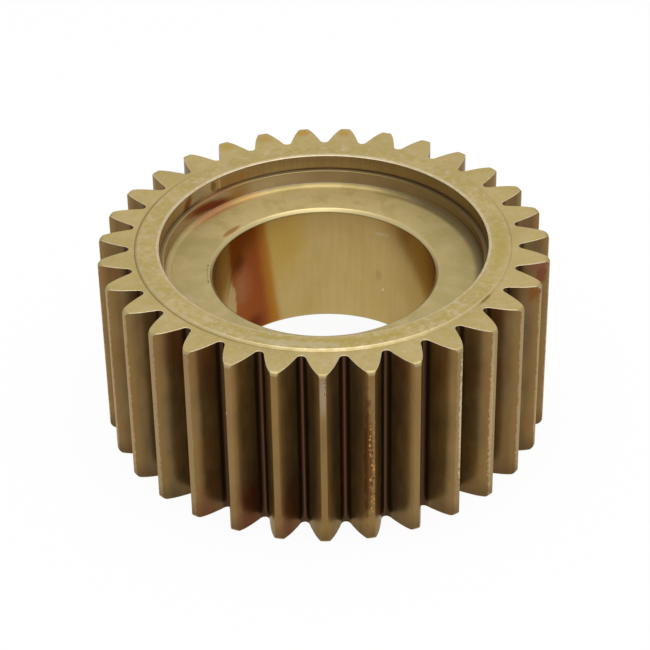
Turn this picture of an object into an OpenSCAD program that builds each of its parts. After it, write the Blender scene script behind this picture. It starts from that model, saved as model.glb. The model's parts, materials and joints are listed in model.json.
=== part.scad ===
// Spur sun gear, one machined piece: 31 straight involute teeth with chamfered ends, a raised land
// and a stepped bearing recess on each side, and a plain through bore. Units are millimetres.
// The bore axis is Z and the origin is the centre of the bore at half its length.
// One tooth is centred on +X.

/* [Teeth] */
// Number of teeth
teeth = 31; // [30:1:60]
// Module, pitch diameter divided by the number of teeth
gear_module = 5; // [5:0.5:8]
// Pressure angle in degrees
pressure_angle = 25; // [20:0.5:27]
// Addendum, pitch circle to tooth tip, in modules
addendum = 1; // [0.8:0.05:1.1]
// Dedendum, pitch circle to the bottom of the rounded root, in modules
dedendum = 1.3; // [1.2:0.05:1.35]
// Thinning of each flank for running clearance
flank_clearance = 0.1; // [0:0.01:0.3]
// Chamfer on the outer corners of the tooth ends
tooth_end_chamfer = 1; // [0.2:0.1:4]
// Straight steps that draw each involute flank
flank_steps = 9; // [4:1:20]
// Straight steps that draw each rounded tooth root
root_steps = 10; // [4:1:24]

/* [Widths] */
// Width over the two raised lands
overall_width = 75; // [36:1:120]
// Height of each raised land above the tooth end faces
land_height = 0.75; // [0.25:0.25:3]
// Outer diameter of the raised land at its flat face
land_diameter = 135.5; // [124:0.5:140]
// Radial width of the slope from the land down to the tooth end face
land_slope = 0.9; // [0.2:0.1:2.2]

/* [Recesses] */
// Diameter of the bearing seat, the wide upper band of the recess
seat_diameter = 120; // [118:0.5:132]
// Depth of the bearing seat below the land
seat_depth = 6.2; // [2:0.1:9]
// Radial width of the shallow bevel round the mouth of the seat
mouth_width = 1.1; // [0.3:0.1:3]
// Depth of that bevel below the land
mouth_depth = 0.35; // [0.2:0.05:1.5]
// Depth of the relief groove cut into the seat wall above the ledge
relief_depth = 0.3; // [0.1:0.05:1]
// Width of the relief groove
relief_width = 0.6; // [0.2:0.1:2]
// Diameter of the narrower lower band of the recess
pocket_diameter = 117; // [96:0.5:119]
// Depth of the recess floor below the land
recess_depth = 12.75; // [10:0.25:30]
// Radius of the fillet between the lower band and the floor
pocket_fillet = 2.2; // [0.5:0.1:6]

/* [Bore] */
// Diameter of the through bore
bore_diameter = 82; // [40:0.5:104]
// Chamfer at each end of the bore
bore_chamfer = 1.2; // [0.3:0.1:6]

/* [Hidden] */
$fn = 180;
// Reach of the cutters past the faces they cut
over = 2;
pitch_radius = gear_module * teeth / 2;
base_radius = pitch_radius * cos(pressure_angle);
tip_radius = pitch_radius + addendum * gear_module;
flank_end_radius = tip_radius + gear_module / 20;
root_circle_radius = pitch_radius - dedendum * gear_module;
tooth_angle = 360 / teeth;
// Half the angle that a tooth takes up at the pitch circle
half_tooth = tooth_angle / 4 - flank_clearance / pitch_radius * 180 / PI;
seat_radius = seat_diameter / 2;
pocket_radius = pocket_diameter / 2;
bore_radius = bore_diameter / 2;
land_radius = land_diameter / 2;
face_start = land_height;
face_end = overall_width - land_height;

// Involute function of an angle, in degrees
function inv(a) = tan(a) * 180 / PI - a;

// Pressure angle of the flank where it passes radius r
function angle_at(r) = acos(min(1, base_radius / r));

// Angle from the tooth centre to its flank at radius r
function flank_angle(r) = half_tooth + inv(pressure_angle) - inv(angle_at(r));

// Angle from the gap centre to the flank at radius r
function gap_angle(r) = tooth_angle / 2 - flank_angle(r);

// A flank point at radius r, with the gap centred on the x axis, on the side given by sign
function gap_point(r, side) = [r * cos(gap_angle(r)), side * r * sin(gap_angle(r))];

// Lowest radius reached by the circle that is centred on the gap line and touches both flanks at radius r
function circle_low(r) =
    let (p = gap_point(r, 1), tilt = angle_at(r) + gap_angle(r))
    p[0] + p[1] * (tan(tilt) - 1 / cos(tilt));

// Radius at which the flanks run into the full root rounding, found by halving
function touch_radius(low, high, steps) =
    steps == 0 ? (low + high) / 2 :
    circle_low((low + high) / 2) > root_circle_radius
        ? touch_radius(low, (low + high) / 2, steps - 1)
        : touch_radius((low + high) / 2, high, steps - 1);

root_touch = touch_radius(root_circle_radius, pitch_radius, 30);
root_tilt = angle_at(root_touch) + gap_angle(root_touch);
root_radius = gap_point(root_touch, 1)[1] / cos(root_tilt);
// Distance of the centre of the root rounding from the gear axis
root_centre = root_circle_radius + root_radius;

// Outline of one gap: down one flank, round the root, up the other flank
function flank_radius(i) = root_touch + (flank_end_radius - root_touch) * i / flank_steps;
function gap_outline() = concat(
    [for (i = [flank_steps:-1:0]) gap_point(flank_radius(i), -1)],
    [for (i = [1:root_steps - 1])
        let (a = 270 - root_tilt - (180 - 2 * root_tilt) * i / root_steps)
        [root_centre + root_radius * cos(a), root_radius * sin(a)]],
    [for (i = [0:flank_steps]) gap_point(flank_radius(i), 1)]);

function turned(p, a) = [p[0] * cos(a) - p[1] * sin(a), p[0] * sin(a) + p[1] * cos(a)];

// All the gaps in turn, which leaves the teeth standing between them
module toothed_bar() {
    linear_extrude(height = overall_width)
        polygon([for (k = [0:teeth - 1]) for (p = gap_outline()) turned(p, (k + 0.5) * tooth_angle)]);
}

// Turned blank with the raised lands and the chamfered tooth ends
module blank() {
    rotate_extrude()
        polygon([
            [0, 0],
            [land_radius, 0],
            [land_radius + land_slope, face_start],
            [tip_radius - tooth_end_chamfer, face_start],
            [tip_radius, face_start + tooth_end_chamfer],
            [tip_radius, face_end - tooth_end_chamfer],
            [tip_radius - tooth_end_chamfer, face_end],
            [land_radius + land_slope, face_end],
            [land_radius, overall_width],
            [0, overall_width]
        ]);
}

// Cutter for the recess of one side, drawn for the top and open upwards from its floor at z = 0
module recess_cutter() {
    rotate_extrude() {
        square([pocket_radius - pocket_fillet, recess_depth + over]);
        translate([0, pocket_fillet]) square([pocket_radius, recess_depth + over - pocket_fillet]);
        translate([pocket_radius - pocket_fillet, pocket_fillet]) circle(r = pocket_fillet);
    }
    translate([0, 0, recess_depth - seat_depth]) {
        cylinder(r = seat_radius, h = seat_depth + over);
        cylinder(r = seat_radius + relief_depth, h = relief_width);
    }
    translate([0, 0, recess_depth - mouth_depth])
        cylinder(
            r1 = seat_radius,
            r2 = seat_radius + mouth_width * (1 + over / mouth_depth),
            h = mouth_depth + over);
    translate([0, 0, -bore_chamfer])
        cylinder(r1 = bore_radius, r2 = bore_radius + bore_chamfer + over, h = bore_chamfer + over);
}

module sun_gear() {
    color([0.62, 0.54, 0.36])
    translate([0, 0, -overall_width / 2])
    difference() {
        intersection() {
            blank();
            toothed_bar();
        }
        translate([0, 0, -over]) cylinder(r = bore_radius, h = overall_width + 2 * over);
        translate([0, 0, overall_width - recess_depth]) recess_cutter();
        translate([0, 0, recess_depth]) mirror([0, 0, 1]) recess_cutter();
    }
}

sun_gear();
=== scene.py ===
import json
import random
from math import acos, atan2, cos, hypot, pi, radians, sin, tan

import bmesh
import bpy
from mathutils import Matrix, Vector, noise


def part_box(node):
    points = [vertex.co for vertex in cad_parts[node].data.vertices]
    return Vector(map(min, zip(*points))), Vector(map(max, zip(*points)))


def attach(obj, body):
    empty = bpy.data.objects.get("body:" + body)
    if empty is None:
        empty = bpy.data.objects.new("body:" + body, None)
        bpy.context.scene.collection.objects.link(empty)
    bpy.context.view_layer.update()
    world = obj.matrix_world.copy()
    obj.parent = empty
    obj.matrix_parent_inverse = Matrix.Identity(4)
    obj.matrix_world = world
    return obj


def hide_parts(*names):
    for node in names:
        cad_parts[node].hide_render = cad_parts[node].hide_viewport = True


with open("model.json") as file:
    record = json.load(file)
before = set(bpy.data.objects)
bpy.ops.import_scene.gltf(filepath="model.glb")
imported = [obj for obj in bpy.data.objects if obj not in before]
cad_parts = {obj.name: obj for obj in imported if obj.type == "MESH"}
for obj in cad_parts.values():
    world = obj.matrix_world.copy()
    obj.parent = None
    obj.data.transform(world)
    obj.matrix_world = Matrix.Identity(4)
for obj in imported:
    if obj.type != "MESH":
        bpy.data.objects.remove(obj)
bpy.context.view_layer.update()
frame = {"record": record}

mm = 0.001


# Small helpers

def deselectAll():
    bpy.ops.object.select_all(action="DESELECT")


def activate(piece):
    deselectAll()
    piece.select_set(True)
    bpy.context.view_layer.objects.active = piece


def openMesh(piece, kind="VERT"):
    activate(piece)
    bpy.ops.object.mode_set(mode="EDIT")
    bpy.ops.mesh.select_mode(type=kind)
    bpy.ops.mesh.select_all(action="DESELECT")


def closeMesh():
    bpy.ops.object.mode_set(mode="OBJECT")


def pickFaces(piece, test):
    # selects the faces for which test(centre, normal) is true
    bpy.ops.mesh.select_mode(type="FACE")
    mesh = bmesh.from_edit_mesh(piece.data)
    for face in mesh.faces:
        face.select_set(test(face.calc_center_median(), face.normal))
    bmesh.update_edit_mesh(piece.data)


def mountRadius(name):
    for mount in frame["record"]["mounts"]:
        if mount["name"] == name:
            return mount["dims"]["r_mm"] * mm
    raise ValueError("no mount " + name)


def turned(x, y, angle):
    return (x * cos(angle) - y * sin(angle), x * sin(angle) + y * cos(angle))


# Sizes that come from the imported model

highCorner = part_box("sun_gear")[1]
halfWidth = highCorner.z
tipRadius = highCorner.x

gear = {
    "teeth": 31,
    "pressureAngle": radians(25),
    "clearance": 0.1 * mm,       # thinning of each flank at the pitch circle
    "rootRadius": 71 * mm,       # lowest point of the rounded root
    "tipChamfer": 1 * mm,
    "relief": 0.3 * mm,          # each flank falls back by this much at the tip
    "reliefStart": 78.5 * mm,
    "pinch": 0.15,               # the gap narrows by this share towards its bottom
    "pinchEnd": 75.5 * mm,
    "flankSteps": 10,
    "rootSteps": 12,
    "halvings": 40,              # steps in the search for the start of the root
    "arcSteps": 8,               # edges of the turned faces within one tooth
    "lengthSteps": 36,           # rows along the tooth
}
gear["module"] = 2 * tipRadius / (gear["teeth"] + 2)
gear["pitchRadius"] = gear["module"] * gear["teeth"] / 2
gear["baseRadius"] = gear["pitchRadius"] * cos(gear["pressureAngle"])
toothAngle = 2 * pi / gear["teeth"]

blank = {
    "landHeight": 0.75 * mm,
    "landRadius": 67.75 * mm,
    "landSlope": 0.9 * mm,
    "mouthWidth": 1.1 * mm,
    "mouthDepth": 0.35 * mm,
    "seatDepth": 6.2 * mm,
    "reliefDepth": 0.25 * mm,
    "reliefWidth": 0.4 * mm,
    "pocketRadius": 58.5 * mm,
    "floorDepth": 12.75 * mm,
    "fillet": 2.2 * mm,
    "filletSteps": 8,
    "boreChamfer": 1.2 * mm,
}
blank["seatRadius"] = mountRadius("seat_top")
blank["boreRadius"] = mountRadius("bore")
endPlane = halfWidth - blank["landHeight"]
landFoot = blank["landRadius"] + blank["landSlope"]
ledgeHeight = halfWidth - blank["seatDepth"]
floorHeight = halfWidth - blank["floorDepth"]

mergeGap = 0.002 * mm          # points of the teeth, or of the turned body, closer than this become one
seamGap = 0.005 * mm           # the same where the teeth meet the turned body
seamAngle = 1e-4               # radians; faces of a tooth this near to the next tooth are taken away
footGap = 0.01 * mm            # so are the upright ones this near to the foot of the land
sharpAngle = radians(24)       # edges sharper than this are rounded
smoothAngle = radians(35)      # faces that meet more sharply than this keep a hard edge

# Width of the worn rounding on each kind of edge
edgeBreaks = {
    "endFace": 0.2 * mm,
    "crest": 0.35 * mm,
    "tip": 0.68 * mm,
    "landTop": 0.25 * mm,
    "mouth": 0.25 * mm,
    "ledge": 0.2 * mm,
    "boreEnd": 0.35 * mm,
}


# Tooth form

def involute(angle):
    return tan(angle) - angle


def angleAt(radius):
    return acos(min(1, gear["baseRadius"] / radius))


def flankAngle(radius):
    half = toothAngle / 4 - gear["clearance"] / gear["pitchRadius"]
    worn = max(0, (radius - gear["reliefStart"]) / (tipRadius - gear["reliefStart"])) ** 2
    return half + involute(gear["pressureAngle"]) - involute(angleAt(radius)) - worn * gear["relief"] / radius


def gapAngle(radius):
    return toothAngle / 2 - flankAngle(radius)


def rootTouch():
    # radius at which the rounded root runs into the flanks, found by halving
    low, high = gear["rootRadius"], gear["pitchRadius"]
    for step in range(gear["halvings"]):
        middle = (low + high) / 2
        x, y = middle * cos(gapAngle(middle)), middle * sin(gapAngle(middle))
        tilt = angleAt(middle) + gapAngle(middle)
        if x + y * (tan(tilt) - 1 / cos(tilt)) > gear["rootRadius"]:
            high = middle
        else:
            low = middle
    return middle


def pinched(x, y):
    # a point of the lower side of the tooth, moved towards the middle of the gap if it is low
    r = hypot(x, y)
    share = min(1, max(0, (r - gear["rootRadius"]) / (gear["pinchEnd"] - gear["rootRadius"])))
    left = 1 - share * share * (3 - 2 * share)
    gap = toothAngle / 2 + atan2(y, x)
    return turned(r, 0, gap * (1 - gear["pinch"] * left) - toothAngle / 2)


def toothOutline():
    # one tooth centred on +X, from the middle of one gap to the middle of the next
    touch = rootTouch()
    tilt = angleAt(touch) + gapAngle(touch)
    radius = touch * sin(gapAngle(touch)) / cos(tilt)
    centre = gear["rootRadius"] + radius
    half = []
    steps = gear["rootSteps"] // 2
    for step in range(steps):
        angle = pi + (pi / 2 - tilt) * step / steps
        x, y = centre + radius * cos(angle), -radius * sin(angle)
        half.append(turned(x, y, -toothAngle / 2))
    for step in range(gear["flankSteps"] + 1):
        r = touch + (tipRadius - touch) * step / gear["flankSteps"]
        half.append(turned(r, 0, -flankAngle(r)))
    half = [pinched(x, y) for x, y in half]
    return half + [(x, -y) for x, y in reversed(half)]


def makeToothRow():
    # one tooth as an extruded outline, then copied round the gear
    outline = toothOutline()
    arc = []
    for step in range(gear["arcSteps"] + 1):
        angle = toothAngle / 2 - toothAngle * step / gear["arcSteps"]
        arc.append(turned(landFoot, 0, angle))
    points = outline + arc
    bpy.ops.mesh.primitive_circle_add(
        vertices=len(points), radius=tipRadius, fill_type="NGON", location=(0, 0, 0))
    tooth = bpy.context.active_object
    tooth.name = "toothRow"
    for vertex, (x, y) in zip(tooth.data.vertices, points):
        vertex.co = (x, y, -endPlane)
    openMesh(tooth, "FACE")
    bpy.ops.mesh.select_all(action="SELECT")
    bpy.ops.mesh.extrude_region_move(TRANSFORM_OT_translate={"value": (0, 0, 2 * endPlane)})
    bpy.ops.mesh.select_all(action="SELECT")
    bpy.ops.mesh.normals_make_consistent(inside=False)

    def inner(centre, normal):
        side = abs(abs(atan2(centre.y, centre.x)) - toothAngle / 2) < seamAngle
        upright = abs(normal.z) < 0.5
        return upright and (hypot(centre.x, centre.y) < landFoot + footGap or side)

    pickFaces(tooth, inner)
    bpy.ops.mesh.delete(type="FACE")
    for end in (1, -1):
        bpy.ops.mesh.select_all(action="SELECT")
        bpy.ops.mesh.bisect(
            plane_co=(tipRadius - gear["tipChamfer"], 0, end * endPlane),
            plane_no=(1, 0, end), use_fill=True, clear_outer=True)
    for step in range(1, gear["lengthSteps"]):
        height = -endPlane + 2 * endPlane * step / gear["lengthSteps"]
        bpy.ops.mesh.select_all(action="SELECT")
        bpy.ops.mesh.bisect(plane_co=(0, 0, height), plane_no=(0, 0, 1))
    bpy.ops.mesh.select_all(action="SELECT")
    copies = gear["teeth"] - 1
    bpy.ops.mesh.spin(
        steps=copies, angle=copies * toothAngle, dupli=True, center=(0, 0, 0), axis=(0, 0, 1))
    bpy.ops.mesh.select_all(action="SELECT")
    bpy.ops.mesh.remove_doubles(threshold=mergeGap)
    closeMesh()
    return tooth


# Turned body

def turnedProfile():
    # (radius, height) from the foot of the raised land inwards and down to half the bore
    seat, pocket, bore = blank["seatRadius"], blank["pocketRadius"], blank["boreRadius"]
    points = [
        (landFoot, endPlane),
        (blank["landRadius"], halfWidth),
        (seat + blank["mouthWidth"], halfWidth),
        (seat, halfWidth - blank["mouthDepth"]),
        (seat, ledgeHeight + blank["reliefWidth"]),
        (seat + blank["reliefDepth"], ledgeHeight + blank["reliefWidth"]),
        (seat + blank["reliefDepth"], ledgeHeight),
        (pocket, ledgeHeight),
    ]
    for step in range(blank["filletSteps"] + 1):
        angle = pi / 2 * step / blank["filletSteps"]
        points.append((
            pocket - blank["fillet"] * (1 - cos(angle)),
            floorHeight + blank["fillet"] * (1 - sin(angle))))
    points += [(bore + blank["boreChamfer"], floorHeight), (bore, floorHeight - blank["boreChamfer"])]
    return points


def makeTurnedBody():
    # a single point is extruded along the section, then spun round the bore
    upper = turnedProfile()
    points = upper + [(r, -z) for r, z in reversed(upper)]
    bpy.ops.mesh.primitive_plane_add(size=1 * mm, location=(0, 0, 0))
    body = bpy.context.active_object
    body.name = "turnedBody"
    openMesh(body)
    bpy.ops.mesh.select_all(action="SELECT")
    bpy.ops.mesh.merge(type="CENTER")
    at = (0, 0)
    for number, (r, z) in enumerate(points):
        step = {"value": (r - at[0], 0, z - at[1])}
        if number == 0:
            bpy.ops.transform.translate(value=step["value"])
        else:
            bpy.ops.mesh.extrude_region_move(TRANSFORM_OT_translate=step)
        at = (r, z)
    bpy.ops.mesh.select_all(action="SELECT")
    bpy.ops.mesh.spin(
        steps=gear["teeth"] * gear["arcSteps"], angle=2 * pi, center=(0, 0, 0), axis=(0, 0, 1))
    bpy.ops.mesh.select_all(action="SELECT")
    bpy.ops.mesh.remove_doubles(threshold=mergeGap)
    closeMesh()
    return body


# How far from its drawn place an edge or a face may lie and still belong to it
margin = {
    "same": 0.05 * mm,
    "boreEnd": 0.1 * mm,
    "groove": 0.35 * mm,       # behind the seat wall
    "belowMouth": 3 * mm,      # faces lower than this may lie in the groove or on the ledge
    "chamfer": 1.2 * gear["tipChamfer"],
    "crest": 0.3 * mm,
    "landGap": 1 * mm,         # end face edges start this far outside the land
    "endFace": 0.25 * mm,
    "endRounding": 0.3 * mm,
    "tipRounding": 1.3 * mm,
    "wornRim": 1.5 * mm,       # the rim of an end face is rubbed up to this far from the tip
}


def edgeKind(radius, height):
    # which rounding an edge gets, from where its middle lies
    def near(r, z):
        return abs(radius - r) < margin["same"] and abs(height - z) < margin["same"]

    seat, bore = blank["seatRadius"], blank["boreRadius"]
    if near(blank["landRadius"], halfWidth):
        return "landTop"
    if near(seat, halfWidth - blank["mouthDepth"]):
        return "mouth"
    if near(blank["pocketRadius"], ledgeHeight):
        return "ledge"
    if near(bore + blank["boreChamfer"], floorHeight) or near(bore, floorHeight - blank["boreChamfer"]):
        return "boreEnd"
    if radius > tipRadius - margin["chamfer"] and height > endPlane - margin["chamfer"]:
        return "tip"
    if radius > landFoot + margin["landGap"] and height > endPlane - margin["same"]:
        return "endFace"
    if radius > tipRadius - margin["crest"]:
        return "crest"
    return None


def markEdges(piece):
    # bevel weights on the sharp edges
    widest = max(edgeBreaks.values())
    mesh = bmesh.new()
    mesh.from_mesh(piece.data)
    weights = mesh.edges.layers.float.new("bevel_weight_edge")
    for edge in mesh.edges:
        if len(edge.link_faces) == 2 and edge.calc_face_angle() > sharpAngle:
            middle = (edge.verts[0].co + edge.verts[1].co) / 2
            ends = [hypot(v.co.x, v.co.y) for v in edge.verts]
            kind = edgeKind(sum(ends) / 2, abs(middle.z))
            if kind:
                edge[weights] = edgeBreaks[kind] / widest
    mesh.to_mesh(piece.data)
    mesh.free()
    return widest


slots = ["face", "floor", "wall", "bore", "flank", "edge", "broken"]


def paintFaces(piece):
    # which steel each face gets, also the roundings that the bevel adds
    seat, bore = blank["seatRadius"], blank["boreRadius"]
    level = {"end": 0.6, "ledge": 0.45, "boreEnd": 0.3}    # least share of the normal along the axis
    for face in piece.data.polygons:
        radius = hypot(face.center.x, face.center.y)
        height = abs(face.center.z)
        flat = abs(face.normal.z)
        deep = height < halfWidth - margin["belowMouth"]
        rounding = face.material_index == slots.index("edge")
        if radius < bore + blank["boreChamfer"] + margin["boreEnd"]:
            kind = "edge" if flat > level["boreEnd"] else "bore"
        elif radius < seat + margin["same"] or (radius < seat + margin["groove"] and deep):
            kind = "floor" if flat > level["ledge"] and deep else "wall"
        elif height > endPlane - margin["endFace"] or flat > level["end"]:
            worn = rounding and landFoot < radius < tipRadius - margin["wornRim"]
            mouth = radius < seat + blank["mouthWidth"] + margin["same"]
            kind = "edge" if (worn or mouth) and height > endPlane - margin["endRounding"] else "face"
        elif radius > tipRadius - margin["tipRounding"] and height > endPlane - margin["tipRounding"] and rounding:
            kind = "face"
        else:
            kind = "flank"
        face.material_index = slots.index(kind)


# Chips and pits along the tooth crests. A side of 1 or -1 is a corner of the crest, 0 its middle. Heights and sizes
# are in mm. With other places of the chips the script hung or crashed, so they are best left as they are.
chips = {
    "chipped corner": {"tooth": -5, "side": 1, "low": -14, "high": 29, "count": 15, "size": (0.22, 0.5), "seed": 4},
    "next corner": {"tooth": -4, "side": 1, "low": 4, "high": 35, "count": 8, "size": (0.2, 0.38), "seed": 9},
    "pitted crest": {"tooth": -7, "side": 0.1, "spread": 0.9, "low": -24, "high": 20, "count": 46,
                     "size": (0.18, 0.42), "seed": 3},
    "bits at the front": {"tooth": -8, "side": 0.8, "spread": 0.5, "low": 29, "high": 35.5, "count": 5,
                          "size": (0.25, 0.45), "seed": 12},
    "broken tip": {"tooth": -2, "side": -1, "spread": 0.2, "low": 33, "high": 36.2, "count": 5,
                   "size": (0.35, 0.7), "seed": 21},
    "dent": {"tooth": -11, "side": -1, "low": -1.5, "high": 1.5, "count": 3, "size": (0.6, 0.9), "seed": 6},
    "left corner": {"tooth": -13, "side": 1, "spread": 0.3, "low": 27, "high": 36, "count": 6,
                    "size": (0.18, 0.3), "seed": 8},
    "nick": {"tooth": -10, "side": -1, "low": 15.8, "high": 16.2, "count": 1, "size": (0.4, 0.5), "seed": 2},
    "far chip": {"tooth": 9, "side": -1, "low": 35.2, "high": 36.4, "count": 2, "size": (0.3, 0.5), "seed": 5},
}

chipShape = {
    "lift": (-0.2, 0.35),      # centre above the crest, as a share of the size
    "cornerDrop": 0.1 * mm,
    "stretch": (1, 1.9),       # along the tooth
    "roughness": 0.35,
    "roughScale": 1.3,
    "roughStep": 3.7,          # moves the roughness on from chip to chip
}


def makeChipCutter():
    parts = []
    corner = flankAngle(tipRadius)
    for group in chips.values():
        picked = random.Random(group["seed"])
        for number in range(group["count"]):
            size = picked.uniform(*group["size"]) * mm
            aside = group["side"] + picked.uniform(-1, 1) * group.get("spread", 0)
            angle = group["tooth"] * toothAngle + aside * corner
            lift = size * picked.uniform(*chipShape["lift"])
            radius = tipRadius + lift - chipShape["cornerDrop"] * abs(group["side"])
            height = picked.uniform(group["low"], group["high"]) * mm
            x, y = turned(radius, 0, angle)
            bpy.ops.mesh.primitive_ico_sphere_add(subdivisions=2, radius=size, location=(x, y, height))
            chip = bpy.context.active_object
            stretch = picked.uniform(*chipShape["stretch"])
            offset = Vector((number * chipShape["roughStep"], angle, 0))
            for vertex in chip.data.vertices:
                lump = noise.noise(vertex.co / size * chipShape["roughScale"] + offset)
                rough = 1 + chipShape["roughness"] * lump
                vertex.co = Vector((vertex.co.x, vertex.co.y, vertex.co.z * stretch)) * rough
            parts.append(chip)
    deselectAll()
    for part in parts:
        part.select_set(True)
    bpy.context.view_layer.objects.active = parts[0]
    bpy.ops.object.join()
    cutter = bpy.context.active_object
    cutter.name = "chipCutter"
    return cutter


def cutChips(piece, materials):
    cutter = makeChipCutter()
    for material in materials:
        cutter.data.materials.append(material)
    for face in cutter.data.polygons:
        face.material_index = slots.index("broken")
    cut = piece.modifiers.new("chips", "BOOLEAN")
    cut.operation = "DIFFERENCE"
    cut.solver = "MANIFOLD"
    cut.object = cutter
    activate(piece)
    bpy.ops.object.modifier_apply(modifier=cut.name)
    bpy.data.objects.remove(cutter)


def makeGear(materials):
    teeth = makeToothRow()
    body = makeTurnedBody()
    activate(body)
    teeth.select_set(True)
    bpy.ops.object.join()
    openMesh(body)
    bpy.ops.mesh.select_all(action="SELECT")
    bpy.ops.mesh.remove_doubles(threshold=seamGap)
    bpy.ops.mesh.select_all(action="SELECT")
    bpy.ops.mesh.normals_make_consistent(inside=False)
    closeMesh()
    body.name = body.data.name = "sunGear"
    for material in materials:
        body.data.materials.append(material)
    widest = markEdges(body)
    bevel = body.modifiers.new("edge breaks", "BEVEL")
    bevel.limit_method = "WEIGHT"
    bevel.width = widest
    bevel.segments = 3
    bevel.use_clamp_overlap = False
    bevel.material = slots.index("edge")
    activate(body)
    bpy.ops.object.modifier_apply(modifier=bevel.name)
    paintFaces(body)
    cutChips(body, materials)
    activate(body)
    bpy.ops.object.shade_smooth_by_angle(angle=smoothAngle)
    weighted = body.modifiers.new("even shading", "WEIGHTED_NORMAL")
    weighted.keep_sharp = True
    bpy.ops.object.modifier_apply(modifier=weighted.name)
    return body


def openEdges(piece):
    mesh = bmesh.new()
    mesh.from_mesh(piece.data)
    count = sum(1 for edge in mesh.edges if len(edge.link_faces) != 2)
    mesh.free()
    return count


# Materials

def tone(red, green, blue):
    # a screen colour from 0 to 255, as the shader wants it
    def linear(value):
        value /= 255
        return value / 12.92 if value <= 0.04045 else ((value + 0.055) / 1.055) ** 2.4
    return (linear(red), linear(green), linear(blue), 1)


steelTint = tone(228, 208, 172)


def newSteel(name, metallic, roughness):
    material = bpy.data.materials.new(name)
    material.use_nodes = True
    shader = material.node_tree.nodes["Principled BSDF"]
    shader.inputs["Metallic"].default_value = metallic
    shader.inputs["Roughness"].default_value = roughness
    shader.inputs["Specular Tint"].default_value = steelTint
    return material, material.node_tree, shader


def add(tree, kind, inputs=None, output=0, **settings):
    # a node with its settings, and its inputs as values or links
    node = tree.nodes.new(kind)
    for name, value in settings.items():
        setattr(node, name, value)
    for name, value in (inputs or {}).items():
        if isinstance(value, bpy.types.NodeSocket):
            tree.links.new(value, node.inputs[name])
        else:
            node.inputs[name].default_value = value
    return node.outputs[output]


def maths(tree, operation, first, second=0.0, third=0.0, clamp=False):
    return add(
        tree, "ShaderNodeMath", {0: first, 1: second, 2: third}, operation=operation, use_clamp=clamp)


def objectPoint(tree):
    return add(tree, "ShaderNodeTexCoord", output="Object")


def cloud(tree, point, scale, detail=3, stretch=(1, 1, 1)):
    # a noise from 0 to 1, its size set by scale in cycles per metre
    if stretch != (1, 1, 1):
        point = add(tree, "ShaderNodeMapping", {"Vector": point, "Scale": stretch})
    return add(tree, "ShaderNodeTexNoise", {"Vector": point, "Scale": scale, "Detail": detail})


def fade(tree, value, start, end, low=0.0, high=1.0):
    return add(
        tree, "ShaderNodeMapRange",
        {"Value": value, "From Min": start, "From Max": end, "To Min": low, "To Max": high},
        interpolation_type="SMOOTHSTEP")


def blendTone(tree, amount, first, second):
    return add(tree, "ShaderNodeMixRGB", {"Fac": amount, "Color1": first, "Color2": second})


def partsOf(tree, vector):
    parts = tree.nodes.new("ShaderNodeSeparateXYZ")
    tree.links.new(vector, parts.inputs[0])
    return parts.outputs


def radiusOf(tree, point):
    x, y, z = partsOf(tree, point)
    return maths(tree, "SQRT", maths(tree, "MULTIPLY_ADD", x, x, maths(tree, "MULTIPLY", y, y)))


def bearing(tree, point, angle):
    # how far round from the given angle, in degrees from -180 to 180
    swung = add(tree, "ShaderNodeMapping", {"Vector": point, "Rotation": (0, 0, radians(-angle))})
    x, y, z = partsOf(tree, swung)
    return maths(tree, "MULTIPLY", maths(tree, "ARCTAN2", y, x), 180 / pi)


def onSide(tree, point, side):
    # a share that changes with the distance round from an angle, in degrees
    away = maths(tree, "ABSOLUTE", bearing(tree, point, side["angle"]))
    return fade(tree, away, *side["reach"], *side["share"])


def band(tree, value, place):
    # a soft band of a value round its middle
    away = maths(tree, "ABSOLUTE", maths(tree, "SUBTRACT", value, place["middle"]))
    return fade(tree, away, *place["edge"], 0, place["share"])


def spot(tree, point, place):
    # 1 inside a ragged patch laid on the gear, 0 outside: its centre is an angle in degrees with
    # a height or a radius in mm, or both, and wide, tall and deep are its half sizes in mm
    around = bearing(tree, point, place["angle"])
    perDegree = (place["radius"] if "radius" in place else place["at"]) * pi / 180
    arc = maths(tree, "MULTIPLY", around, perDegree)
    total = None
    if "height" in place:
        height = maths(tree, "MULTIPLY", partsOf(tree, point)[2], 1000)
        rise = maths(tree, "SUBTRACT", height, place["height"])
        if "lean" in place:
            arc = maths(tree, "MULTIPLY_ADD", rise, -place["lean"], arc)
        total = maths(tree, "POWER", maths(tree, "ABSOLUTE", maths(tree, "DIVIDE", rise, place["tall"])), 2)
    if "deep" in place:
        step = maths(tree, "MULTIPLY_ADD", radiusOf(tree, point), 1000, -place["radius"])
        step = maths(tree, "POWER", maths(tree, "ABSOLUTE", maths(tree, "DIVIDE", step, place["deep"])), 2)
        total = step if total is None else maths(tree, "ADD", total, step)
    side = maths(tree, "POWER", maths(tree, "ABSOLUTE", maths(tree, "DIVIDE", arc, place["wide"])), 2)
    total = side if total is None else maths(tree, "ADD", total, side)
    ragged = place.get("ragged", 0.3)
    clump = maths(tree, "MULTIPLY_ADD", cloud(tree, point, place.get("grain", 400), 4), ragged * 2, -ragged)
    total = maths(tree, "ADD", maths(tree, "SQRT", total), clump)
    soft = place.get("soft", 0.35)
    return fade(tree, total, 1 + soft, 1 - soft, 0, place.get("strength", 1.0))


def addSpots(tree, point, colour, places):
    for place in places.values():
        colour = blendTone(tree, spot(tree, point, place), colour, tone(*place["tone"]))
    return colour


def addBump(tree, shader, height, distance, strength=1.0):
    bump = add(tree, "ShaderNodeBump", {"Height": height, "Distance": distance, "Strength": strength})
    tree.links.new(bump, shader.inputs["Normal"])


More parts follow.
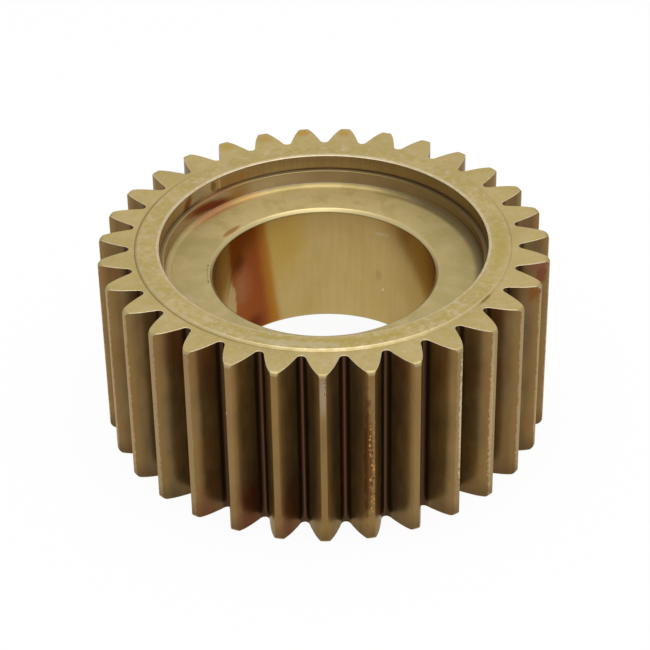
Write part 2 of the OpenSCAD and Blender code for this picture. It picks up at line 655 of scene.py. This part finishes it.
faceLook = {
    "metallic": 0.85,
    "roughness": (0.38, 0.5),
    "tones": (tone(180, 162, 112), tone(172, 155, 104)),
    "oil": tone(164, 146, 84),
    "bare": tone(194, 176, 144),
    # painted highlight for the slope of the land
    "pale": tone(188, 178, 150),
    # painted shade on the tooth tips
    "tip": tone(150, 136, 98),
    # painted shade for the corner at the foot of the land
    "corner": tone(100, 82, 38),
    # degrees from the middle of the side, and millimetres of radius
    "near": {"angle": -85, "reach": (75, 25), "share": (0.4, 0.55)},
    "outside": (67.5, 68.5, 1.0, 0.45),
    "slope": {"middle": 67.9, "edge": (0.35, 0.1), "share": 0.45},
    "tipShadeRange": (80.6, 81.8, 0, 0.6),
    "foot": {"middle": 68.85, "edge": (0.4, 0.1), "share": 1},
    "footShadeSide": {"angle": -165, "reach": (70, 35), "share": (0.0, 0.65)},
    "spots": {
        "olive near": {"angle": -92, "radius": 64.5, "wide": 26, "deep": 2.4, "ragged": 1.1,
                       "grain": 330, "soft": 0.5, "strength": 0.55, "tone": (162, 142, 66)},
        "olive right": {"angle": -8, "radius": 64.5, "wide": 17, "deep": 2.2, "ragged": 0.9,
                        "grain": 240, "soft": 0.6, "strength": 0.5, "tone": (160, 143, 68)},
        "grey near": {"angle": -100, "radius": 65.3, "wide": 16, "deep": 1.6, "ragged": 1.2,
                      "grain": 420, "soft": 0.4, "strength": 0.5, "tone": (186, 176, 152)},
        "nick on the step": {"angle": -36.6, "radius": 68.5, "wide": 3.4, "deep": 0.45, "soft": 0.5,
                             "tone": (132, 112, 56)},
        "amber tip": {"angle": 93.3, "radius": 78.5, "wide": 2.4, "deep": 2.0, "soft": 0.8,
                      "strength": 0.8, "tone": (176, 132, 52)},
        "second amber tip": {"angle": 81.5, "radius": 78, "wide": 2.2, "deep": 2.0, "soft": 0.8,
                             "strength": 0.7, "tone": (174, 132, 56)},
        "yellow tip": {"angle": 116, "radius": 78, "wide": 2.4, "deep": 2.6, "soft": 0.8,
                       "strength": 0.6, "tone": (166, 142, 58)},
        "fourth tip": {"angle": 104.7, "radius": 77.5, "wide": 2.2, "deep": 2.2, "soft": 0.8,
                       "strength": 0.6, "tone": (176, 138, 62)},
    },
}


def makeFaceSteel():
    look = faceLook
    material, tree, shader = newSteel("faceSteel", look["metallic"], look["roughness"][0])
    point = objectPoint(tree)
    radius = maths(tree, "MULTIPLY", radiusOf(tree, point), 1000)
    broad = cloud(tree, point, 70, 4)
    patches = cloud(tree, point, 240, 5)
    fine = cloud(tree, point, 620, 5)
    near = maths(
        tree, "MULTIPLY", onSide(tree, point, look["near"]), fade(tree, radius, *look["outside"]))
    colour = blendTone(tree, fade(tree, broad, 0.35, 0.65), *look["tones"])
    for field, start, end, kind in (
            (patches, 0.53, 0.59, "oil"), (patches, 0.45, 0.39, "bare"),
            (fine, 0.55, 0.62, "oil"), (fine, 0.43, 0.36, "bare")):
        amount = maths(tree, "MULTIPLY", fade(tree, field, start, end), near)
        colour = blendTone(tree, amount, colour, look[kind])
    colour = addSpots(tree, point, colour, look["spots"])
    # painted highlight: a pale band along the slope of the land
    colour = blendTone(tree, band(tree, radius, look["slope"]), colour, look["pale"])
    # painted shade: the tooth tips are darkened
    colour = blendTone(tree, fade(tree, radius, *look["tipShadeRange"]), colour, look["tip"])
    # painted shade in the corner at the foot of the land, from the left round to the near left
    footShade = maths(tree, "MULTIPLY", band(tree, radius, look["foot"]), onSide(tree, point, look["footShadeSide"]))
    colour = blendTone(tree, footShade, colour, look["corner"])
    tree.links.new(colour, shader.inputs["Base Color"])
    tree.links.new(fade(tree, patches, 0.3, 0.7, *look["roughness"]), shader.inputs["Roughness"])
    addBump(tree, shader, fine, 0.02 * mm, 0.5)
    return material


floorLook = {
    "metallic": 0.45,
    "roughness": 0.45,
    "tones": (tone(174, 156, 106), tone(164, 148, 102)),
    # painted light: the far side of the floor is lighter
    "far": tone(194, 174, 118),
    "oil": tone(154, 142, 84),
    "bare": tone(190, 172, 134),
    # painted shade on the ledge next to the seat wall
    "ledge": tone(112, 92, 62),
    "shade": tone(66, 52, 30),
    # degrees from the middle of the side, and metres of radius
    "farLightSide": {"angle": 92, "reach": (75, 30), "share": (0, 1)},
    "rightSide": {"angle": 12, "reach": (72, 30), "share": (0.0, 0.85)},
    "cornerRange": (0.0545, 0.0575),
    "ledgeShadeRange": (0.0583, 0.0592, 0, 0.75),
    "spots": {
        "glow at the wall": {"angle": 133, "radius": 57.6, "wide": 13, "deep": 1.9, "soft": 0.7,
                             "ragged": 0.25, "strength": 0.75, "tone": (164, 104, 66)},
        "gold end of it": {"angle": 118, "radius": 57.6, "wide": 6, "deep": 1.6, "soft": 0.8,
                           "strength": 0.6, "tone": (196, 160, 92)},
        "red-brown spot": {"angle": 140.2, "radius": 43.9, "wide": 4.6, "deep": 1.1, "soft": 0.35,
                           "ragged": 0.2, "tone": (158, 112, 66)},
        "dark mark": {"angle": 172.9, "radius": 42.9, "wide": 0.5, "deep": 0.35, "tone": (104, 84, 44)},
        "faint line": {"angle": 180, "radius": 42.9, "wide": 5, "deep": 0.2, "strength": 0.6,
                       "tone": (126, 108, 60)},
        "second dark mark": {"angle": -172.8, "radius": 42.9, "wide": 0.7, "deep": 0.3,
                             "tone": (120, 100, 56)},
    },
}


def makeFloorSteel():
    look = floorLook
    material, tree, shader = newSteel("floorSteel", look["metallic"], look["roughness"])
    point = objectPoint(tree)
    radius = radiusOf(tree, point)
    broad = cloud(tree, point, 60, 4)
    film = cloud(tree, point, 130, 5)
    fine = cloud(tree, point, 500, 4)
    colour = blendTone(tree, fade(tree, broad, 0.3, 0.7), *look["tones"])
    # painted light: lighter towards the far side
    colour = blendTone(tree, onSide(tree, point, look["farLightSide"]), colour, look["far"])
    colour = blendTone(tree, fade(tree, film, 0.5, 0.62, 0, 0.35), colour, look["oil"])
    colour = blendTone(tree, fade(tree, film, 0.46, 0.36, 0, 0.3), colour, look["bare"])
    colour = blendTone(tree, fade(tree, fine, 0.5, 0.68, 0, 0.2), colour, look["oil"])
    # painted shade in the corner on the right, and on the ledge above it next to the seat wall
    corner = fade(tree, radius, *look["cornerRange"])
    shaded = maths(tree, "MULTIPLY", onSide(tree, point, look["rightSide"]), corner)
    colour = blendTone(tree, shaded, colour, look["shade"])
    # painted shade: the ledge darkens towards the seat wall
    colour = blendTone(tree, fade(tree, radius, *look["ledgeShadeRange"]), colour, look["ledge"])
    colour = addSpots(tree, point, colour, look["spots"])
    tree.links.new(colour, shader.inputs["Base Color"])
    return material


wallLook = {
    "metallic": 0.85,
    "roughness": 0.26,
    "tones": (tone(184, 164, 132), tone(172, 152, 120)),
    "pocket": tone(176, 163, 150),
    # painted shade in the relief groove at the foot of the seat wall
    "groove": tone(92, 68, 40),
    "grain": tone(130, 112, 88),
    "shade": tone(112, 94, 60),
    # degrees from the middle of the side, and metres of height
    "rightSide": {"angle": 20, "reach": (90, 15), "share": (0.0, 0.75)},
    "pocketRange": (0.0314, 0.0312, 0, 0.8),
    "grooveShadeBand": {"middle": 0.0316, "edge": (0.0004, 0.0002), "share": 0.7},
    "spots": {
        "grey pocket": {"angle": 112, "height": 28.6, "at": 58.5, "wide": 13, "tall": 3.4,
                        "soft": 0.7, "strength": 0.6, "tone": (196, 184, 170)},
        "grey pocket on the left": {"angle": 162, "height": 28.4, "at": 58.5, "wide": 15, "tall": 3.6,
                                    "soft": 0.7, "strength": 0.5, "tone": (194, 176, 144)},
        "grey patch": {"angle": 136.5, "height": 34, "at": 60, "wide": 6.5, "tall": 3.6,
                       "soft": 0.6, "strength": 0.8, "tone": (196, 186, 172)},
        "stain on the seat": {"angle": 146, "height": 33.6, "at": 60, "wide": 2.4, "tall": 2.6, "lean": -0.6,
                              "soft": 0.7, "ragged": 0.4, "strength": 0.85, "tone": (112, 62, 38)},
        "stain in the pocket": {"angle": 135.5, "height": 28, "at": 58.5, "wide": 9, "tall": 3.0,
                                "lean": 3.0, "soft": 0.6, "ragged": 0.25, "strength": 0.95, "tone": (122, 56, 34)},
        "amber end of it": {"angle": 121.5, "height": 28, "at": 58.5, "wide": 4.5, "tall": 3,
                            "soft": 0.8, "strength": 0.7, "tone": (160, 118, 56)},
        "amber on the seat": {"angle": 122, "height": 33.6, "at": 60, "wide": 11, "tall": 2.6,
                              "soft": 0.8, "strength": 0.5, "tone": (150, 110, 60)},
        "glint on the ledge": {"angle": 135.2, "height": 31.6, "at": 59.5, "wide": 5.2, "tall": 0.4,
                               "soft": 0.2, "ragged": 0.1, "tone": (244, 228, 190)},
        "square mark": {"angle": 131.8, "height": 34.6, "at": 60, "wide": 1.3, "tall": 2.0,
                        "ragged": 0.15, "soft": 0.25, "strength": 0.8, "tone": (120, 100, 40)},
        "pale stroke": {"angle": 128.8, "height": 34.2, "at": 60, "wide": 0.5, "tall": 3.0,
                        "strength": 0.7, "tone": (206, 186, 160)},
        "second pale stroke": {"angle": 134.6, "height": 34.2, "at": 60, "wide": 0.45, "tall": 3.0,
                               "strength": 0.6, "tone": (190, 170, 110)},
        "grey strokes": {"angle": 139, "height": 34, "at": 60, "wide": 3.8, "tall": 2.6,
                         "strength": 0.5, "tone": (150, 140, 132)},
    },
}


def makeWallSteel():
    look = wallLook
    material, tree, shader = newSteel("wallSteel", look["metallic"], look["roughness"])
    point = objectPoint(tree)
    height = partsOf(tree, point)[2]
    broad = cloud(tree, point, 55, 4)
    grain = cloud(tree, point, 900, 2, (1, 1, 0.06))
    colour = blendTone(tree, fade(tree, broad, 0.3, 0.7), *look["tones"])
    colour = blendTone(tree, fade(tree, grain, 0.35, 0.7, 0, 0.3), colour, look["grain"])
    colour = blendTone(tree, fade(tree, height, *look["pocketRange"]), colour, look["pocket"])
    colour = blendTone(tree, onSide(tree, point, look["rightSide"]), colour, look["shade"])
    # painted shade along the relief groove
    colour = blendTone(tree, band(tree, height, look["grooveShadeBand"]), colour, look["groove"])
    colour = addSpots(tree, point, colour, look["spots"])
    tree.links.new(colour, shader.inputs["Base Color"])
    return material


boreLook = {
    "metallic": 0.85,
    "roughness": 0.25,
    "tones": (tone(188, 162, 104), tone(180, 154, 92)),
    "grain": tone(150, 126, 76),
    "shade": tone(120, 92, 44),
    "rightRange": (62, 25, 0.0, 0.35),    # degrees round from +X
    "spots": {
        "yellow wash": {"angle": 111, "height": 14, "at": 41, "wide": 9, "tall": 16,
                        "soft": 0.8, "strength": 0.6, "tone": (184, 146, 58)},
        "amber edge": {"angle": 131.5, "height": 0, "at": 41, "wide": 10.4, "tall": 200, "lean": 0.12,
                       "soft": 0.16, "ragged": 0.05, "grain": 120, "tone": (164, 108, 36)},
        "red-brown streak": {"angle": 134.5, "height": 0, "at": 41, "wide": 8.8, "tall": 200, "lean": 0.12,
                             "soft": 0.32, "ragged": 0.08, "grain": 120, "tone": (136, 68, 28)},
        "brown top": {"angle": 141, "height": 20, "at": 41, "wide": 9, "tall": 8,
                      "soft": 0.8, "strength": 0.7, "tone": (122, 72, 20)},
        "dark left side": {"angle": 155, "height": 4, "at": 41, "wide": 5.5, "tall": 60,
                           "soft": 0.3, "strength": 0.75, "tone": (168, 142, 96)},
        "dark curl": {"angle": 140, "height": 10.5, "at": 41, "wide": 3.0, "tall": 4.2,
                      "soft": 0.7, "strength": 0.8, "tone": (88, 38, 14)},
        "pale patch": {"angle": 139, "height": -0.8, "at": 41, "wide": 4.6, "tall": 7.6,
                       "soft": 0.7, "ragged": 0.6, "strength": 0.65, "tone": (150, 100, 66)},
        "dark line": {"angle": 148.2, "height": 5.4, "at": 41, "wide": 0.4, "tall": 6.6, "lean": -0.51,
                      "soft": 0.5, "strength": 0.7, "tone": (90, 54, 26)},
        "bare wedge": {"angle": 147.4, "height": -5.4, "at": 41, "wide": 2.9, "tall": 9.8,
                       "soft": 0.22, "strength": 0.85, "tone": (176, 152, 106)},
        "dark foot": {"angle": 129.5, "height": -20.5, "at": 41, "wide": 3.6, "tall": 3.8,
                      "soft": 0.8, "strength": 0.8, "tone": (86, 30, 14)},
        "ring mark": {"angle": 57.2, "height": -2, "at": 41, "wide": 1.3, "tall": 2.4,
                      "soft": 0.25, "strength": 0.25, "tone": (130, 100, 50)},
        "speck": {"angle": 54.3, "height": -8, "at": 41, "wide": 0.5, "tall": 0.7,
                  "strength": 0.7, "tone": (206, 186, 150)},
        "smear": {"angle": 55, "height": 17.2, "at": 41, "wide": 3, "tall": 0.8, "lean": -1.5,
                  "strength": 0.4, "tone": (196, 180, 150)},
    },
}


def makeBoreSteel():
    look = boreLook
    material, tree, shader = newSteel("boreSteel", look["metallic"], look["roughness"])
    point = objectPoint(tree)
    broad = cloud(tree, point, 60, 4)
    grain = cloud(tree, point, 700, 2, (1, 1, 0.1))
    colour = blendTone(tree, fade(tree, broad, 0.3, 0.7), *look["tones"])
    colour = blendTone(tree, fade(tree, grain, 0.3, 0.75, 0, 0.16), colour, look["grain"])
    right = fade(tree, bearing(tree, point, 0), *look["rightRange"])
    colour = blendTone(tree, right, colour, look["shade"])
    colour = addSpots(tree, point, colour, look["spots"])
    tree.links.new(colour, shader.inputs["Base Color"])
    return material


flankLook = {
    "metallic": 0.72,
    "roughness": 0.3,
    "tones": (tone(134, 104, 56), tone(118, 98, 64)),
    # painted reflection along the middle of each root, and painted shade beside it
    "root": tone(90, 58, 40),
    "rootShade": tone(60, 42, 26),
    # painted shade on the flanks to the left and right
    "aside": tone(98, 78, 48),
    "dull": tone(84, 68, 46),
    "rubbed": tone(150, 126, 88),
    # painted highlight on the crests
    "crest": tone(180, 160, 124),
    # painted light on the upper flanks
    "shoulderLight": tone(146, 114, 66),
    "rust": tone(112, 62, 30),
    "grain": tone(96, 76, 46),
    # painted shade at the lower end of the flanks
    "foot": tone(72, 52, 34),
    # degrees from the middle of the side, and metres of radius or height
    "shadedSides": {"angle": -90, "reach": (35, 60), "share": (0, 0.45)},
    "crestHighlightSides": {"angle": -92, "reach": (12, 60), "share": (0, 0.6)},
    "rootShadeRange": (0.0735, 0.072),
    "rootReflectionLine": (0.1, 0.38),              # mm to each side of the middle of the gap
    "shoulderLightRange": (0.0785, 0.082, 0, 0.6),
    "footShadeRange": (-0.028, -0.0365, 0, 0.55),
    "crestRagged": 0.0006,
    "crestDepth": (0.0004, 0.0001),
    "spots": {
        "rust below a tip": {"angle": -13.8, "radius": 80, "height": 32.4, "wide": 2.2, "deep": 1.9,
                             "tall": 4.4, "soft": 0.35, "ragged": 0.6, "grain": 600, "strength": 0.85,
                             "tone": (116, 62, 42)},
        "rust along the edge": {"angle": -13.8, "radius": 77.5, "height": 35.6, "wide": 2.6, "deep": 4.6,
                                "tall": 1.8, "soft": 0.6, "ragged": 0.8, "grain": 600, "strength": 0.8,
                                "tone": (126, 80, 56)},
        "rust at a tip": {"angle": -25, "radius": 80.4, "height": 34, "wide": 1.4, "deep": 2.0,
                          "tall": 3.2, "soft": 0.6, "ragged": 1.1, "grain": 700, "tone": (122, 78, 34)},
        "rust on a crest": {"angle": -82.3, "radius": 82, "height": -1, "wide": 1.7, "deep": 1.8,
                            "tall": 25, "soft": 0.3, "ragged": 0.8, "grain": 480, "strength": 0.9,
                            "tone": (98, 60, 28)},
        "bare top of a crest": {"angle": -92.9, "radius": 82.4, "height": 28, "wide": 1.3, "deep": 0.8,
                                "tall": 8, "soft": 0.5, "ragged": 0.4, "grain": 500, "strength": 0.7,
                                "tone": (166, 146, 124)},
        "run in a root": {"angle": -87.6, "radius": 73, "height": 4, "wide": 0.8, "deep": 3.0,
                          "tall": 34, "soft": 0.5, "ragged": 1.0, "grain": 300, "strength": 0.7,
                          "tone": (92, 42, 30)},
        "red foot": {"angle": -113.6, "radius": 76, "height": -33, "wide": 3.0, "deep": 6,
                     "tall": 17, "soft": 0.8, "strength": 0.8, "tone": (92, 34, 18)},
        "second red foot": {"angle": -102.4, "radius": 76, "height": -32, "wide": 3.0, "deep": 6,
                            "tall": 19, "soft": 0.8, "strength": 0.8, "tone": (88, 30, 16)},
        "third red foot": {"angle": -125.5, "radius": 78, "height": -34, "wide": 2.6, "deep": 6,
                           "tall": 12, "soft": 0.8, "strength": 0.6, "tone": (104, 54, 30)},
        "ragged pale corner": {"angle": -57.4, "radius": 82.3, "height": 6, "wide": 0.9, "deep": 0.9,
                               "tall": 25, "soft": 0.3, "ragged": 1.3, "grain": 700, "strength": 0.85,
                               "tone": (206, 190, 160)},
        "next ragged corner": {"angle": -47.2, "radius": 82.3, "height": 4, "wide": 0.5, "deep": 0.9,
                               "tall": 31, "soft": 0.3, "ragged": 1.3, "grain": 700, "strength": 0.7,
                               "tone": (190, 164, 124)},
        "dark nick": {"angle": -117.4, "radius": 82.2, "height": 16, "wide": 1.0, "deep": 1.6,
                      "tall": 0.8, "soft": 0.4, "tone": (60, 34, 20)},
    },
}


def makeFlankSteel():
    look = flankLook
    material, tree, shader = newSteel("flankSteel", look["metallic"], look["roughness"])
    point = objectPoint(tree)
    radius = radiusOf(tree, point)
    broad = cloud(tree, point, 45, 4)
    grain = cloud(tree, point, 700, 3, (1, 1, 0.05))
    mottle = cloud(tree, point, 170, 6, (1, 1, 0.5))
    colour = blendTone(tree, fade(tree, broad, 0.3, 0.7), *look["tones"])
    colour = blendTone(tree, fade(tree, grain, 0.35, 0.7, 0, 0.35), colour, look["grain"])
    colour = blendTone(tree, fade(tree, mottle, 0.5, 0.64, 0, 0.4), colour, look["dull"])
    colour = blendTone(tree, fade(tree, mottle, 0.46, 0.34, 0, 0.25), colour, look["rubbed"])
    # painted shade: the flanks darken away from the front
    colour = blendTone(tree, onSide(tree, point, look["shadedSides"]), colour, look["aside"])
    rusty = fade(tree, cloud(tree, point, 28, 3), 0.52, 0.7, 0, 0.5)
    colour = blendTone(tree, rusty, colour, look["rust"])
    # painted light: the flanks are lighter towards the crest
    colour = blendTone(tree, fade(tree, radius, *look["shoulderLightRange"]), colour, look["shoulderLight"])
    # painted shade in the roots, with a painted reflection left as a narrow brighter line along the middle of each
    halfTooth = 180 / gear["teeth"]
    middle = maths(tree, "WRAP", bearing(tree, point, halfTooth), halfTooth, -halfTooth)
    perDegree = gear["rootRadius"] / mm * pi / 180
    off = maths(tree, "MULTIPLY", maths(tree, "ABSOLUTE", middle), perDegree)
    rootShadeAndReflection = blendTone(tree, fade(tree, off, *look["rootReflectionLine"]), look["root"], look["rootShade"])
    colour = blendTone(tree, fade(tree, radius, *look["rootShadeRange"]), colour, rootShadeAndReflection)
    # painted highlight: the crests are pale, most of all on the left and right
    swing = look["crestRagged"]
    edge = maths(tree, "MULTIPLY_ADD", cloud(tree, point, 700, 4), 2 * swing, -swing)
    inner, outer = look["crestDepth"]
    crest = fade(tree, maths(tree, "ADD", radius, edge), tipRadius - inner, tipRadius - outer)
    crest = maths(tree, "MULTIPLY", crest, onSide(tree, point, look["crestHighlightSides"]))
    colour = blendTone(tree, crest, colour, look["crest"])
    # painted shade: the flanks darken towards the lower end of the gear
    foot = fade(tree, partsOf(tree, point)[2], *look["footShadeRange"])
    colour = blendTone(tree, foot, colour, look["foot"])
    colour = addSpots(tree, point, colour, look["spots"])
    tree.links.new(colour, shader.inputs["Base Color"])
    addBump(tree, shader, cloud(tree, point, 800, 4, (1, 1, 0.3)), 0.03 * mm, 0.5)
    return material


edgeLook = {
    "metallic": 0.9,
    "roughness": 0.36,
    "tones": (tone(200, 186, 156), tone(186, 170, 134)),
    "bore": tone(184, 168, 122),
    "boreRange": (0.05, 0.045),           # metres of radius
}


# bare metal worn pale on the edges, and partly painted highlight: the pale tone stands in part for the light the
# roundings catch
def makeWornEdgeAndHighlight():
    look = edgeLook
    material, tree, shader = newSteel("wornEdgeAndHighlight", look["metallic"], look["roughness"])
    point = objectPoint(tree)
    fine = cloud(tree, point, 500, 3)
    colour = blendTone(tree, fade(tree, fine, 0.3, 0.7), *look["tones"])
    inBore = fade(tree, radiusOf(tree, point), *look["boreRange"])
    colour = blendTone(tree, inBore, colour, look["bore"])
    tree.links.new(colour, shader.inputs["Base Color"])
    return material


brokenLook = {
    "metallic": 0.6,
    "roughness": 0.5,
    "tones": (tone(204, 186, 154), tone(160, 130, 90)),
    "rusty": tone(206, 160, 98),
    "rustySide": {"angle": -83, "reach": (8, 7), "share": (0.0, 1.0)},
}


def makeBrokenSteel():
    # bare metal in the chips, with rust where the crest is pitted
    look = brokenLook
    material, tree, shader = newSteel("brokenSteel", look["metallic"], look["roughness"])
    point = objectPoint(tree)
    fine = cloud(tree, point, 900, 3)
    colour = blendTone(tree, fade(tree, fine, 0.35, 0.65), *look["tones"])
    colour = blendTone(tree, onSide(tree, point, look["rustySide"]), colour, look["rusty"])
    tree.links.new(colour, shader.inputs["Base Color"])
    return material


# Stage

stage = {
    "floorSize": 6.0,
    "floorTone": tone(250, 250, 250),
    "floorRoughness": 0.9,
    "floorGlow": 0.95,         # share of plain white in the floor as the camera sees it
    "skyStrength": 0.6,
    "keyPower": 7.0,
    "keySize": 1.0,
    "keyPlace": (0.08, -0.12, 1.1),
}


def seenDirectly(tree):
    # 1 for what the camera sees, by itself or in the metal
    path = tree.nodes.new("ShaderNodeLightPath")
    seen = maths(tree, "ADD", path.outputs["Is Camera Ray"], path.outputs["Is Glossy Ray"])
    return maths(tree, "ADD", seen, path.outputs["Is Transmission Ray"], clamp=True)


def makeStage():
    bpy.ops.mesh.primitive_plane_add(size=stage["floorSize"], location=(0, 0, 0))
    floor = bpy.context.active_object
    floor.name = "floor"
    floor.data.transform(Matrix.Translation((0, 0, -halfWidth)))
    material = bpy.data.materials.new("paleFloor")
    material.use_nodes = True
    tree = material.node_tree
    shader = tree.nodes["Principled BSDF"]
    shader.inputs["Base Color"].default_value = stage["floorTone"]
    shader.inputs["Roughness"].default_value = stage["floorRoughness"]
    shader.inputs["Specular IOR Level"].default_value = 0
    glow = add(tree, "ShaderNodeEmission", {"Strength": 1.0})
    whiten = maths(tree, "MULTIPLY", seenDirectly(tree), stage["floorGlow"])
    mixed = tree.nodes.new("ShaderNodeMixShader")
    tree.links.new(whiten, mixed.inputs[0])
    tree.links.new(shader.outputs[0], mixed.inputs[1])
    tree.links.new(glow, mixed.inputs[2])
    tree.links.new(mixed.outputs[0], tree.nodes["Material Output"].inputs["Surface"])
    floor.data.materials.append(material)

    world = bpy.data.worlds.new("studio")
    world.use_nodes = True
    bpy.context.scene.world = world
    tree = world.node_tree
    background = tree.nodes["Background"]
    background.inputs["Color"].default_value = (1, 1, 1, 1)
    strength = fade(tree, seenDirectly(tree), 0, 1, stage["skyStrength"], 1)
    tree.links.new(strength, background.inputs["Strength"])

    lamp = bpy.data.lights.new("softbox", "AREA")
    lamp.energy = stage["keyPower"]
    lamp.size = stage["keySize"]
    key = bpy.data.objects.new("softbox", lamp)
    bpy.context.scene.collection.objects.link(key)
    key.location = stage["keyPlace"]
    key.rotation_euler = (Vector((0, 0, 0)) - key.location).to_track_quat("-Z", "Y").to_euler()


# Camera

photoView = {
    "azimuth": radians(-92.12),
    "elevation": radians(35.13),
    "distance": 882.6 * mm,
    "roll": radians(0.93),
    "aimHeight": -0.3 * mm,
    "lens": 130.9,
    "sensor": 36,
}


def makeCamera():
    data = bpy.data.cameras.new("photoCamera")
    data.sensor_width = photoView["sensor"]
    data.lens = photoView["lens"]
    camera = bpy.data.objects.new("photoCamera", data)
    bpy.context.scene.collection.objects.link(camera)
    away = photoView["distance"] * cos(photoView["elevation"])
    camera.location = (
        away * cos(photoView["azimuth"]), away * sin(photoView["azimuth"]),
        photoView["aimHeight"] + photoView["distance"] * sin(photoView["elevation"]))
    look = Vector((0, 0, photoView["aimHeight"])) - camera.location
    turn = look.to_track_quat("-Z", "Y").to_matrix() @ Matrix.Rotation(-photoView["roll"], 3, "Z")
    camera.rotation_euler = turn.to_euler()
    bpy.context.scene.camera = camera


deselectAll()
makeCamera()
makeStage()
print("stage and camera are in place")
steels = [
    makeFaceSteel(), makeFloorSteel(), makeWallSteel(), makeBoreSteel(), makeFlankSteel(), makeWornEdgeAndHighlight(),
    makeBrokenSteel()]
sunGear = makeGear(steels)
print("gear:", len(sunGear.data.polygons), "faces,", openEdges(sunGear), "open edges")
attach(sunGear, "root")
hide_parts("sun_gear")

bpy.context.scene.view_settings.view_transform = "Standard"
